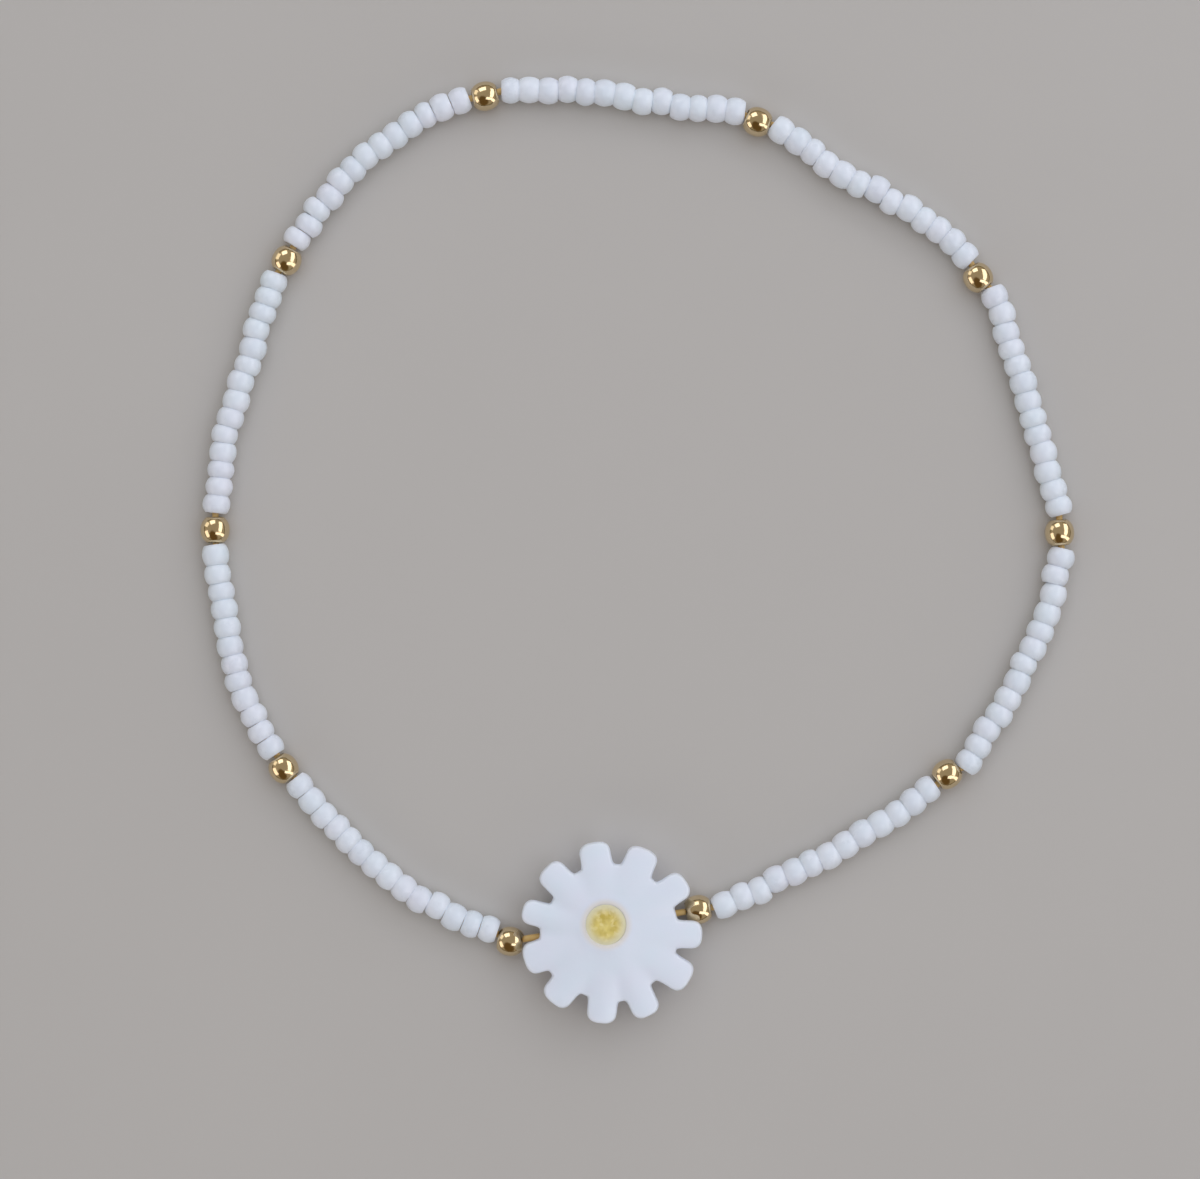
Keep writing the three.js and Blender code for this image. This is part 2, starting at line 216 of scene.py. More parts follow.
# Each seed is a ring: a superellipse profile about ringRadius, cut off flat where it meets its
# neighbours, turned about the string, slightly oval, leaned, and lifted to touch the table.
def seedRun(name, station, run):
    seeds = seedsOf(station, run)
    number = seeds["number"][:, None, None]
    count, steps, sides = station["seeds"], seedBead["steps"], seedBead["sides"]
    around = allRound(sides)[None, None, :]
    power = 2 / (seedBead["fullness"] + seedBead["fullnessScatter"] * scatter(number, "fullness"))
    cap = np.arcsin(seedBead["flatEnd"] ** (1 / power))
    arc = np.linspace(-1, 1, steps // 2)[None, :, None]
    profile = np.concatenate((arc * cap, np.pi + arc * cap), axis=1)
    wall = np.where(
        np.cos(profile) > 0,
        seeds["radius"][:, None, None] - seedBead["ringRadius"],
        seedBead["ringRadius"] - seedBead["bore"],
    )
    radius = seedBead["ringRadius"] + wall * bent(np.cos(profile), power)
    ovalTurn = seedBead["ovalTurn"] * scatter(number, "oval")
    radius = radius * (1 + seedBead["oval"] * np.cos(2 * around + ovalTurn))
    half = seeds["length"][:, None, None] / 2 * seedBead["closeness"] / seedBead["flatEnd"]
    along = half * bent(np.sin(profile), power) + np.zeros((count, steps, sides))
    across = radius * np.cos(around)
    up = radius * np.sin(around)
    along, across = turned(along, across, np.radians(seedBead["yaw"]) * scatter(number, "yaw"))
    along, up = turned(along, up, np.radians(seedBead["pitch"]) * scatter(number, "pitch"))
    up -= up.min(axis=(1, 2), keepdims=True)

    point, inward = runLine(station, seeds["middle"])
    centre = point - inward * seeds["side"][:, None]
    ahead = np.stack((-inward[:, 1], inward[:, 0]), -1)
    flat = (
        centre[:, None, None, :]
        + inward[:, None, None, :] * across[..., None]
        - ahead[:, None, None, :] * along[..., None]
    )
    points = np.concatenate((flat, up[..., None]), -1).reshape(-1, 3)
    oneSeed = gridFaces(steps, sides, True)
    faces = (oneSeed[None] + (np.arange(count) * steps * sides)[:, None, None]).reshape(-1, 4)
    tone = np.repeat(0.5 + 0.5 * scatter(seeds["number"], "tone"), steps * sides)
    return makePiece(name, points, [faces], seedBead["sharpAngle"], {"beadTone": tone})


goldBead = dict(
    radius=1.03, halfLength=1.07,
    fullness=2.15,                                # power of the profile: 2 is an ellipse
    bore=0.56, lip=0.05,
    sides=64, steps=44, lipSteps=6, boreSteps=4, sharpAngle=50,
)


# Superellipse from lip to lip, then a quarter round into the bore, turned about the string.
def goldBall(name, place, heading):
    ball = goldBead
    cap = np.arccos(((ball["bore"] + ball["lip"]) / ball["radius"]) ** (ball["fullness"] / 2))
    angle = np.linspace(-cap, cap, ball["steps"])
    outerAlong = ball["halfLength"] * bent(np.sin(angle), 2 / ball["fullness"])
    outerRadius = ball["radius"] * np.cos(angle) ** (2 / ball["fullness"])
    turn = quarterRound(ball["lipSteps"])[1:]
    lipAlong = outerAlong[-1] - ball["lip"] * (1 - np.cos(turn))
    lipRadius = ball["bore"] + ball["lip"] * (1 - np.sin(turn))
    boreAlong = np.linspace(lipAlong[-1], -lipAlong[-1], ball["boreSteps"] + 2)[1:-1]
    boreRadius = np.full(ball["boreSteps"], ball["bore"])
    along = np.concatenate((outerAlong, lipAlong, boreAlong, -lipAlong[::-1]))
    radius = np.concatenate((outerRadius, lipRadius, boreRadius, lipRadius[::-1]))
    around = allRound(ball["sides"])
    ahead = np.array((np.cos(heading), np.sin(heading), 0))
    aside = np.array((-np.sin(heading), np.cos(heading), 0))
    points = (
        np.array((*place, ball["radius"]))
        + along[:, None, None] * ahead
        + (radius[:, None] * np.cos(around))[..., None] * aside
        + (radius[:, None] * np.sin(around))[..., None] * upright
    )
    faces = gridFaces(len(along), ball["sides"], True)
    return makePiece(name, points.reshape(-1, 3), [faces], ball["sharpAngle"])


daisyBead = dict(
    place=(-1.85, -26.6), eye=(-0.3, 0.6),        # eye: the insert's middle, from the daisy's own
    backInset=0.45, backRound=0.14,               # the back is smaller than the face
    waist=1.15, waistInset=0.38,                  # the side is near upright up to here
    flare=1.5, parting=2.0,                       # and flares up to here, as a power
    # the moulding seam: height over the parting, and how far it stands proud
    seamRings=((0.04, 0), (0.07, 0.018), (0.1, 0), (0.2, 0)),
    shoulder=2.45, roundOver=0.14,                # the rounded rim
    crown=3.14, fall=0.34, crossFall=0.14,        # top of the face, its fall to the tips and sides
    ridgeSoftness=0.09, behindRidge=-9.0,         # behind the middle a ridge is far below the face
    collar=0.03, collarPlace=0.3, collarWidth=0.35,      # low ring round the recess
    tip=0.85, tipShrink=0.6, squareness=2.7,      # a petal's tip, a superellipse of this power
    petalSpan=0.9,                                # radians to each side of a petal's heading
    searchReach=1.3, halvings=26,                 # the search for a petal's edge
    web=22.0,                                     # power of the mean that joins the petals
    recessRadius=1.4, recessDepth=0.4, lip=0.06,
    creamFrom=1.4, creamTo=2.0,                   # radii between which the cream tint fades out
    boreRadius=0.5, boreHeight=1.3, boreSides=40,
    backShares=(0.25, 0.5, 0.75, 0.92, 1.0),      # rings of the back
    floorShares=(1.0, 0.6, 0.25),                 # and of the recess's floor
    backSteps=4, sideSteps=10, rimSteps=10, faceSteps=33, lipSteps=4,
    samples=760, edgeSteps=40000, sharpAngle=40,
)

# Petals anticlockwise from +X. heading: degrees; width and reach of the petal; notch: radius
# of the bottom of the gap that follows it.
petals = np.array([
    (-1.6, 1.9, 6.4, 4.75),
    (34, 2.0, 6.35, 4.7),
    (67, 2.2, 6.3, 4.75),
    (101, 2.15, 6.35, 4.75),
    (135, 2.05, 6.35, 4.6),
    (165.8, 1.72, 6.3, 4.9),
    (198.5, 2.2, 6.3, 5.0),
    (230, 2.15, 6.35, 4.7),
    (264, 2.05, 6.35, 4.85),
    (295, 1.95, 6.4, 4.6),
    (328.5, 2.2, 6.45, 4.75),
], dtype=[("heading", float), ("width", float), ("reach", float), ("notch", float)])

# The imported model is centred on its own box, so all points are shifted by where the daisy's
# centre is in it.
eyeLow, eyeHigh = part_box("daisy_centre")
eyeMiddle = np.array((eyeLow + eyeHigh) / 2)[:2] / millimetre
tableShift = np.append(eyeMiddle - np.array(daisyBead["place"]) - np.array(daisyBead["eye"]), 0)


# Radius of the flower in one direction, drawn in by inset: a high power mean of the web's
# circle and of each petal's edge. A petal has straight sides and a superellipse for its tip,
# and its edge is found by halving the stretch that holds it.
def daisyOutline(angle, inset):
    daisy = daisyBead
    angle = np.asarray(angle)[..., None]
    heading = np.radians(petals["heading"])
    turn = np.mod(angle - heading + np.pi, fullTurn) - np.pi
    gap = np.mod(np.roll(heading, -1) - heading, fullTurn)
    web = np.where((turn >= 0) & (turn < gap), (petals["notch"] - inset) ** daisy["web"], 0)
    reach = petals["reach"] - inset
    half = petals["width"] / 2 - inset
    tip = daisy["tip"] - inset * daisy["tipShrink"]
    near = np.zeros_like(turn)
    far = np.zeros_like(turn) + reach * daisy["searchReach"]
    for halving in range(daisy["halvings"]):
        middle = (near + far) / 2
        lengthwise = np.clip(middle * np.cos(turn) - reach + tip, 0, None) / tip
        crosswise = middle * np.abs(np.sin(turn)) / half
        inside = lengthwise ** daisy["squareness"] + crosswise ** daisy["squareness"] < 1
        near, far = np.where(inside, middle, near), np.where(inside, far, middle)
    petal = np.where(np.abs(turn) < daisy["petalSpan"], near ** daisy["web"], 0)
    return (web + petal).sum(-1) ** (1 / daisy["web"])


# Height of the face: every petal is a long ridge that falls towards its tip and, as a
# parabola, to both sides; a soft maximum joins them, and a low collar rings the recess.
def daisyFace(x, y):
    daisy = daisyBead
    heading = np.radians(petals["heading"])
    lengthwise = x[..., None] * np.cos(heading) + y[..., None] * np.sin(heading)
    crosswise = y[..., None] * np.cos(heading) - x[..., None] * np.sin(heading)
    ridge = (
        -daisy["fall"] * (lengthwise / petals["reach"]) ** 2
        - daisy["crossFall"] * (crosswise * 2 / petals["width"]) ** 2
    )
    ridge = np.where(lengthwise > 0, ridge, daisy["behindRidge"])
    soft = daisy["ridgeSoftness"]
    height = soft * np.log(np.exp(ridge / soft).sum(-1))
    fromRecess = np.hypot(x - daisy["eye"][0], y - daisy["eye"][1]) - daisy["recessRadius"]
    collar = np.exp(-((fromRecess - daisy["collarPlace"]) / daisy["collarWidth"]) ** 2)
    return daisy["crown"] + height + daisy["collar"] * collar


# Directions whose points on the outline are evenly spaced along it: the walked length of the
# outline, read backwards.
def daisyAngles():
    dense = np.linspace(0, fullTurn, daisyBead["edgeSteps"] + 1)
    edge = daisyOutline(dense, 0.0)
    x, y = edge * np.cos(dense), edge * np.sin(dense)
    walked = np.concatenate(([0], np.cumsum(np.hypot(np.diff(x), np.diff(y)))))
    return np.interp(np.linspace(0, walked[-1], daisyBead["samples"], endpoint=False), walked, dense)


# How far the side is drawn in at one height: near upright to the waist, and from there to the
# parting less and less, as a power.
def sideInset(height):
    daisy = daisyBead
    risen = min(height / daisy["waist"], 1)
    flared = max(0, (height - daisy["waist"]) / (daisy["parting"] - daisy["waist"])) ** daisy["flare"]
    return (daisy["backInset"] + (daisy["waistInset"] - daisy["backInset"]) * risen) * (1 - flared)


# Rings from the middle of the back, round the rounded back edge, up the side to a fine
# moulding seam, over the rounded rim, along the face to the recess and down to its floor. The
# face's rings shrink in even steps, while their middle drifts to the eye with the step's cube.
def daisyRings():
    daisy = daisyBead
    angle = daisyAngles()
    unit = np.stack((np.cos(angle), np.sin(angle)), -1)
    eye = np.array(daisy["eye"])
    rings = []

    def ring(flat, height):
        rings.append(np.concatenate((flat, np.broadcast_to(height, len(angle))[:, None]), -1))

    def outline(inset):
        return daisyOutline(angle, inset)[:, None] * unit

    deepest = daisy["backInset"] + daisy["backRound"]
    for share in daisy["backShares"]:
        ring(outline(deepest) * share, 0.0)
    for turn in quarterRound(daisy["backSteps"])[1:]:
        ring(outline(deepest - daisy["backRound"] * np.sin(turn)), daisy["backRound"] * (1 - np.cos(turn)))
    for height in np.linspace(daisy["backRound"], daisy["parting"], daisy["sideSteps"] + 1)[1:]:
        ring(outline(sideInset(height)), height)
    for height, proud in daisy["seamRings"]:
        ring(outline(-proud), daisy["parting"] + height)
    for turn in quarterRound(daisy["rimSteps"]):
        flat = outline(daisy["roundOver"] * (1 - np.cos(turn)))
        top = daisyFace(flat[:, 0], flat[:, 1])
        ring(flat, daisy["shoulder"] + (top - daisy["shoulder"]) * np.sin(turn))
    inner = eye + (daisy["recessRadius"] + daisy["lip"]) * unit
    outer = outline(daisy["roundOver"])
    for share in np.linspace(0, 1, daisy["faceSteps"] + 1)[1:]:
        flat = outer + (inner - eye - outer) * share + eye * share ** 3
        ring(flat, daisyFace(flat[:, 0], flat[:, 1]))
    top = daisyFace(inner[:, 0], inner[:, 1])
    for turn in quarterRound(daisy["lipSteps"])[1:]:
        flat = eye + (daisy["recessRadius"] + daisy["lip"] * (1 - np.sin(turn))) * unit
        ring(flat, top - daisy["lip"] * (1 - np.cos(turn)))
    floor = daisy["crown"] - daisy["recessDepth"]
    for share in daisy["floorShares"]:
        ring(eye + daisy["recessRadius"] * share * unit, floor)
    return np.array(rings), floor


# A round bar along the string's line, to be cut out of the flower as its bore.
def boreBar(start, end):
    daisy = daisyBead
    start = np.array((*start, daisy["boreHeight"]))
    axis = np.array((*end, daisy["boreHeight"])) - start
    length = np.hypot(*axis[:2])
    axis /= length
    aside = np.array((-axis[1], axis[0], 0))
    around = allRound(daisy["boreSides"])[:, None]
    spoke = daisy["boreRadius"] * (np.cos(around) * aside + np.sin(around) * upright)
    stop = start + axis * length
    points = np.concatenate((start + spoke, stop + spoke, [start], [stop]))
    return makePiece("boreCutter", points, cappedFaces(2, daisy["boreSides"]))


def daisyFlower(name, boreStart, boreEnd):
    daisy = daisyBead
    rings, floor = daisyRings()
    poles = np.array(((0, 0, 0), (*daisy["eye"], floor)))
    points = np.concatenate((rings.reshape(-1, 3), poles)) + np.array((*daisy["place"], 0))
    flower = makePiece(name, points, cappedFaces(*rings.shape[:2]))
    cutter = boreBar(boreStart, boreEnd)
    cut = flower.modifiers.new("bore", "BOOLEAN")
    cut.object = cutter
    cut.operation = "DIFFERENCE"
    cut.solver = "EXACT"
    bored = bpy.data.meshes.new_from_object(flower.evaluated_get(bpy.context.evaluated_depsgraph_get()))
    flower.modifiers.clear()
    flower.data = bored
    bored.set_sharp_from_angle(angle=np.radians(daisy["sharpAngle"]))
    bpy.data.objects.remove(cutter)
    return flower


eyeInsert = dict(
    radius=1.43, bottom=2.88, rim=3.095, crown=3.17,
    bottomShare=0.5,                              # radius of the first ring under the insert
    domePower=0.6,
    lump=0.02, lumpWaves=((5.1, 1.0), (4.3, 0.4)),      # radians a millimetre, and at the middle
    paleFrom=0.64, paleTo=1.5,                    # radii between which the yellow pales
    sides=96, steps=40, sharpAngle=50,
)


# Slow lumps: the product of one sine across and one sine along.
def eyeLumps(x, y):
    (turnX, startX), (turnY, startY) = eyeInsert["lumpWaves"]
    return eyeInsert["lump"] * np.sin(turnX * x + startX) * np.sin(turnY * y + startY)


# The insert: a low dome. Its height over the rim is a power of one less the radius squared,
# and its lumps fade out towards the rim.
def daisyEye(name):
    insert = eyeInsert
    around = allRound(insert["sides"])
    shares = np.linspace(1, 0, insert["steps"])[:-1]
    reach = insert["radius"] * np.concatenate(([insert["bottomShare"], 1.0, 1.0], shares))
    x, y = reach[:, None] * np.cos(around), reach[:, None] * np.sin(around)
    outward = reach / insert["radius"]
    dome = insert["rim"] + (insert["crown"] - insert["rim"]) * (1 - outward ** 2) ** insert["domePower"]
    height = dome[:, None] + eyeLumps(x, y) * (1 - outward ** 4)[:, None]
    height[:2] = insert["bottom"]
    poles = ((0, 0, insert["bottom"]), (0, 0, insert["crown"] + eyeLumps(0, 0)))
    points = np.concatenate((np.stack((x, y, height), -1).reshape(-1, 3), poles))
    centre = np.append(np.add(daisyBead["place"], daisyBead["eye"]), 0)
    return makePiece(name, points + centre, cappedFaces(len(reach), insert["sides"]), insert["sharpAngle"])


# swing: how far it may leave a gold bead's middle; stride: seeds from one of its points to the
# next; boreMouth: from the middle of a gold bead beside the daisy to the mouth of the bore.
elastic = dict(radius=0.23, sides=18, perPoint=14, swing=0.14, stride=3, boreMouth=1.9)


# Centripetal Catmull-Rom spline through a closed loop of points: on each stretch a cubic
# whose end slopes come from the neighbours, weighted by the square roots of the distances.
def smoothLoop(route, perPoint):
    def rootGap(start, end):
        return np.sqrt(np.linalg.norm(end - start, axis=1))[:, None]

    before, after, beyond = np.roll(route, 1, 0), np.roll(route, -1, 0), np.roll(route, -2, 0)
    gapBefore, gap, gapAfter = rootGap(before, route), rootGap(route, after), rootGap(after, beyond)
    startSlope = (route - before) / gapBefore - (after - before) / (gapBefore + gap) + (after - route) / gap
    endSlope = (after - route) / gap - (beyond - route) / (gap + gapAfter) + (beyond - after) / gapAfter
    share = np.linspace(0, 1, perPoint, endpoint=False)[:, None, None]
    line = (
        (2 * share ** 3 - 3 * share ** 2 + 1) * route
        + (share ** 3 - 2 * share ** 2 + share) * (startSlope * gap)
        + (3 * share ** 2 - 2 * share ** 3) * after
        + (share ** 3 - share ** 2) * (endSlope * gap)
    )
    return line.transpose(1, 0, 2).reshape(-1, 3)


# A circle carried square to the loop's direction.
def tubeLoop(name, line):
    ahead = np.roll(line, -1, 0) - np.roll(line, 1, 0)
    aside = np.stack((-ahead[:, 1], ahead[:, 0], np.zeros(len(ahead))), -1)
    aside /= np.linalg.norm(aside, axis=1)[:, None]
    above = np.cross(ahead, aside)
    above /= np.linalg.norm(above, axis=1)[:, None]
    around = allRound(elastic["sides"])[None, :, None]
    spoke = np.cos(around) * aside[:, None] + np.sin(around) * above[:, None]
    points = line[:, None] + elastic["radius"] * spoke
    return makePiece(name, points.reshape(-1, 3), [gridFaces(len(line), elastic["sides"], True)])


def newGroup(name, inputs, outputs):
    group = bpy.data.node_groups.new(name, "ShaderNodeTree")
    for label, kind, value in inputs:
        socket = group.interface.new_socket(name=label, in_out="INPUT", socket_type="NodeSocket" + kind)
        if value is not None:
            socket.default_value = value
    for label, kind in outputs:
        group.interface.new_socket(name=label, in_out="OUTPUT", socket_type="NodeSocket" + kind)
    return group, group.nodes.new("NodeGroupInput").outputs, group.nodes.new("NodeGroupOutput").inputs


# Links another node's output to a socket, or sets a plain value on it.
def feed(tree, socket, value):
    if isinstance(value, bpy.types.NodeSocket):
        tree.links.new(value, socket)
    else:
        socket.default_value = value


def addNode(tree, kind, inputs=None, **settings):
    node = tree.nodes.new("ShaderNode" + kind)
    for label, value in settings.items():
        setattr(node, label, value)
    for label, value in (inputs or {}).items():
        feed(tree, node.inputs[label], value)
    return node


# A Mix node's sockets are picked by number, because their names repeat for each data type.
def mixColour(tree, factor, first, second, blend="MIX"):
    node = addNode(tree, "Mix", {0: factor}, data_type="RGBA", blend_type=blend)
    feed(tree, node.inputs[6], first)
    feed(tree, node.inputs[7], second)
    return node.outputs[2]


# Two colours that drift into each other in soft clouds.
def driftingTintGroup():
    group, given, result = newGroup(
        "driftingTint",
        [("Point", "Vector", None), ("First", "Color", (1, 1, 1, 1)), ("Second", "Color", (0, 0, 0, 1)),
         ("Cloud scale", "Float", 400.0), ("Softness", "Float", 0.3)],
        [("Color", "Color")],
    )
    cloud = addNode(group, "TexNoise", {
        "Vector": given["Point"], "Scale": given["Cloud scale"], "Detail": 2.0,
    })
    low = addNode(group, "Math", {0: 0.5, 1: given["Softness"]}, operation="SUBTRACT")
    high = addNode(group, "Math", {0: 0.5, 1: given["Softness"]}, operation="ADD")
    spread = addNode(group, "MapRange", {
        "Value": cloud.outputs[0], "From Min": low.outputs[0], "From Max": high.outputs[0],
    })
    colour = mixColour(group, spread.outputs[0], given["First"], given["Second"])
    group.links.new(colour, result["Color"])
    return group


# Uneven polish: roughness between two values in clouds, and a fine ripple for the bump.
def unevenPolishGroup():
    group, given, result = newGroup(
        "unevenPolish",
        [("Point", "Vector", None), ("Smoothest", "Float", 0.1), ("Roughest", "Float", 0.3),
         ("Cloud scale", "Float", 600.0), ("Ripple scale", "Float", 2500.0)],
        [("Roughness", "Float"), ("Height", "Float")],
    )
    cloud = addNode(group, "TexNoise", {
        "Vector": given["Point"], "Scale": given["Cloud scale"], "Detail": 3.0,
    })
    rough = addNode(group, "MapRange", {
        "Value": cloud.outputs[0], "From Min": 0.3, "From Max": 0.7,
        "To Min": given["Smoothest"], "To Max": given["Roughest"],
    })
    ripple = addNode(group, "TexNoise", {
        "Vector": given["Point"], "Scale": given["Ripple scale"], "Detail": 2.0,
    })
    group.links.new(rough.outputs[0], result["Roughness"])
    group.links.new(ripple.outputs[0], result["Height"])
    return group


driftingTint = driftingTintGroup()
unevenPolish = unevenPolishGroup()


def placeGroup(tree, group, inputs):
    node = tree.nodes.new("ShaderNodeGroup")
    node.node_tree = group
    for label, value in inputs.items():
        feed(tree, node.inputs[label], value)
    return node.outputs


def tinted(tree, point, first, second, cloudScale, softness=0.3):
    return placeGroup(tree, driftingTint, {
        "Point": point, "First": (*first, 1), "Second": (*second, 1),
        "Cloud scale": cloudScale, "Softness": softness,
    })["Color"]


# How far a point of a piece is from the top of the yellow centre.
def distanceFromEye(tree, point):
    top = (*(eyeMiddle * millimetre), eyeInsert["crown"] * millimetre)
    centred = addNode(tree, "Mapping", {"Vector": point, "Location": tuple(-value for value in top)})
    return addNode(tree, "VectorMath", {0: centred.outputs[0]}, operation="LENGTH").outputs["Value"]


# A material with its shader, its Object coordinates, and uneven polish on roughness and bump.
def newMaterial(name, shader, polish, bumpDepth):
    material = bpy.data.materials.new(name)
    material.use_nodes = True
    tree = material.node_tree
    principled = next(node for node in tree.nodes if node.type == "BSDF_PRINCIPLED")
    for label, value in shader.items():
        principled.inputs[label].default_value = value
    point = addNode(tree, "TexCoord").outputs["Object"]
    surface = placeGroup(tree, unevenPolish, {"Point": point, **polish})
    tree.links.new(surface["Roughness"], principled.inputs["Roughness"])
    bump = addNode(tree, "Bump", {
        "Height": surface["Height"], "Strength": 1.0, "Distance": bumpDepth * millimetre,
    })
    tree.links.new(bump.outputs[0], principled.inputs["Normal"])
    return material, tree, principled, point


# Opaque white glass with a faint blue drift, and a tone of its own for each seed.
def seedGlass():
    material, tree, principled, point = newMaterial(
        "seedGlass",
        {"IOR": 1.5, "Subsurface Weight": 0.2, "Subsurface Scale": 0.0003,
         "Subsurface Radius": (1.0, 1.0, 1.0)},
        {"Smoothest": 0.25, "Roughest": 0.4, "Cloud scale": 900.0, "Ripple scale": 2600.0},
        bumpDepth=0.012,
    )
    tint = tinted(tree, point, (0.86, 0.87, 0.93), (0.80, 0.88, 0.92), cloudScale=330.0)
    tone = addNode(tree, "Attribute", attribute_name="beadTone").outputs["Fac"]
    shade = mixColour(tree, tone, (0.95, 0.95, 0.96, 1), (1, 1, 1, 1))
    colour = mixColour(tree, 1.0, tint, shade, "MULTIPLY")
    tree.links.new(colour, principled.inputs["Base Color"])
    return material


def polishedGold():
    material, tree, principled, point = newMaterial(
        "polishedGold",
        {"Metallic": 1.0},
        {"Smoothest": 0.07, "Roughest": 0.16, "Cloud scale": 1100.0, "Ripple scale": 3000.0},
        bumpDepth=0.006,
    )
    tint = tinted(tree, point, (0.78, 0.63, 0.41), (0.73, 0.59, 0.37), cloudScale=700.0)
    tree.links.new(tint, principled.inputs["Base Color"])
    return material


# White with a faint lilac and blue drift, and a cream tint that fades out from the recess.
def flowerWhite():
    material, tree, principled, point = newMaterial(
        "flowerWhite",
        {"IOR": 1.48, "Subsurface Weight": 0.6, "Subsurface Scale": 0.0007,
         "Subsurface Radius": (1.0, 1.0, 1.0), "Coat Weight": 0.1, "Coat Roughness": 0.2},
        {"Smoothest": 0.3, "Roughest": 0.42, "Cloud scale": 350.0, "Ripple scale": 1300.0},
        bumpDepth=0.01,
    )
    tint = tinted(tree, point, (0.85, 0.87, 1.0), (0.82, 0.89, 1.0), cloudScale=420.0)
    cream = addNode(tree, "MapRange", {
        "Value": distanceFromEye(tree, point),
        "From Min": daisyBead["creamFrom"] * millimetre, "From Max": daisyBead["creamTo"] * millimetre,
        "To Min": 0.9, "To Max": 0.0,
    }, interpolation_type="SMOOTHERSTEP")
    colour = mixColour(tree, cream.outputs[0], tint, (0.90, 0.84, 0.74, 1))
    tree.links.new(colour, principled.inputs["Base Color"])
    return material


# Fine glitter set in yellow enamel: soft pale blotches, small flecks with their own tilt whose paler
# colour is partly painted glint, and a colour that pales to cream at the rim.
def glitterYellow():
    material, tree, principled, point = newMaterial(
        "glitterYellow",
        {"Subsurface Weight": 0.3, "Subsurface Scale": 0.0003, "Subsurface Radius": (1.0, 0.9, 0.5),
         "Coat Weight": 0.3, "Coat Roughness": 0.25},
        {"Smoothest": 0.3, "Roughest": 0.5, "Cloud scale": 1500.0, "Ripple scale": 4000.0},
        bumpDepth=0.008,
    )
    blotches = tinted(
        tree, point, (0.65, 0.49, 0.085), (0.86, 0.71, 0.21), cloudScale=1700.0, softness=0.16,
    )
    cells = addNode(tree, "TexVoronoi", {"Vector": point, "Scale": 5200.0})
    shade = addNode(tree, "SeparateColor", {"Color": cells.outputs["Color"]})
    fleck = addNode(tree, "MapRange", {
        "Value": shade.outputs[0], "From Min": 0.6, "From Max": 1.0, "To Max": 0.45,
    })
    # the flecks are real glitter; their paler colour is a painted glint
    flecksAndPaintedGlint = mixColour(tree, fleck.outputs[0], blotches, (0.96, 0.83, 0.42, 1))
    paling = addNode(tree, "MapRange", {
        "Value": distanceFromEye(tree, point),
        "From Min": eyeInsert["paleFrom"] * millimetre, "From Max": eyeInsert["paleTo"] * millimetre,
        "To Min": 0.0, "To Max": 1.0,
    }, interpolation_type="SMOOTHSTEP")
    colour = mixColour(tree, paling.outputs[0], flecksAndPaintedGlint, (0.82, 0.77, 0.53, 1))
    facets = addNode(tree, "Bump", {
        "Height": shade.outputs[2], "Strength": 0.4, "Distance": 0.02 * millimetre,
        "Normal": principled.inputs["Normal"].links[0].from_socket,
    })
    tree.links.new(colour, principled.inputs["Base Color"])
    tree.links.new(facets.outputs[0], principled.inputs["Normal"])
    return material


# Elastic in a saturated orange-gold: partly its own honey colour, partly painted golden reflection of the
# gold beads beside it.
def honeyAndReflectedGoldElastic():
    material, tree, principled, point = newMaterial(
        "honeyAndReflectedGoldElastic",
        {"IOR": 1.45, "Transmission Weight": 0.1},
        {"Smoothest": 0.3, "Roughest": 0.5, "Cloud scale": 1200.0, "Ripple scale": 5000.0},
        bumpDepth=0.008,
    )
    # this orange-gold base colour is partly painted reflection of the gold beads
    tint = tinted(tree, point, (0.98, 0.66, 0.24), (0.88, 0.56, 0.18), cloudScale=800.0)
    tree.links.new(tint, principled.inputs["Base Color"])
    return material


def paleTable():
    material, tree, principled, point = newMaterial(
        "paleTable",
        {},
        {"Smoothest": 0.8, "Roughest": 0.95, "Cloud scale": 60.0, "Ripple scale": 900.0},
        bumpDepth=0.01,
    )
    tint = tinted(tree, point, (0.52, 0.489, 0.445), (0.534, 0.504, 0.458), cloudScale=25.0)
    tree.links.new(tint, principled.inputs["Base Color"])
    return material


# A look straight down. width: what the view spans at the height of aim; clip: in metres.
view = dict(aim=(-2.63, -2.87, 1.0), height=250.0, width=84.0, sensor=36.0, clip=(0.005, 10.0))


def makeCamera():
    camera = bpy.data.objects.new("camera", bpy.data.cameras.new("camera"))
    bpy.context.scene.collection.objects.link(camera)
    camera.location = np.array((*view["aim"][:2], view["height"])) * millimetre
    camera.data.sensor_width = view["sensor"]
    camera.data.lens = view["sensor"] * (view["height"] - view["aim"][2]) / view["width"]
    camera.data.clip_start, camera.data.clip_end = view["clip"]
    bpy.context.scene.view_settings.view_transform = "Standard"
    bpy.context.scene.camera = camera


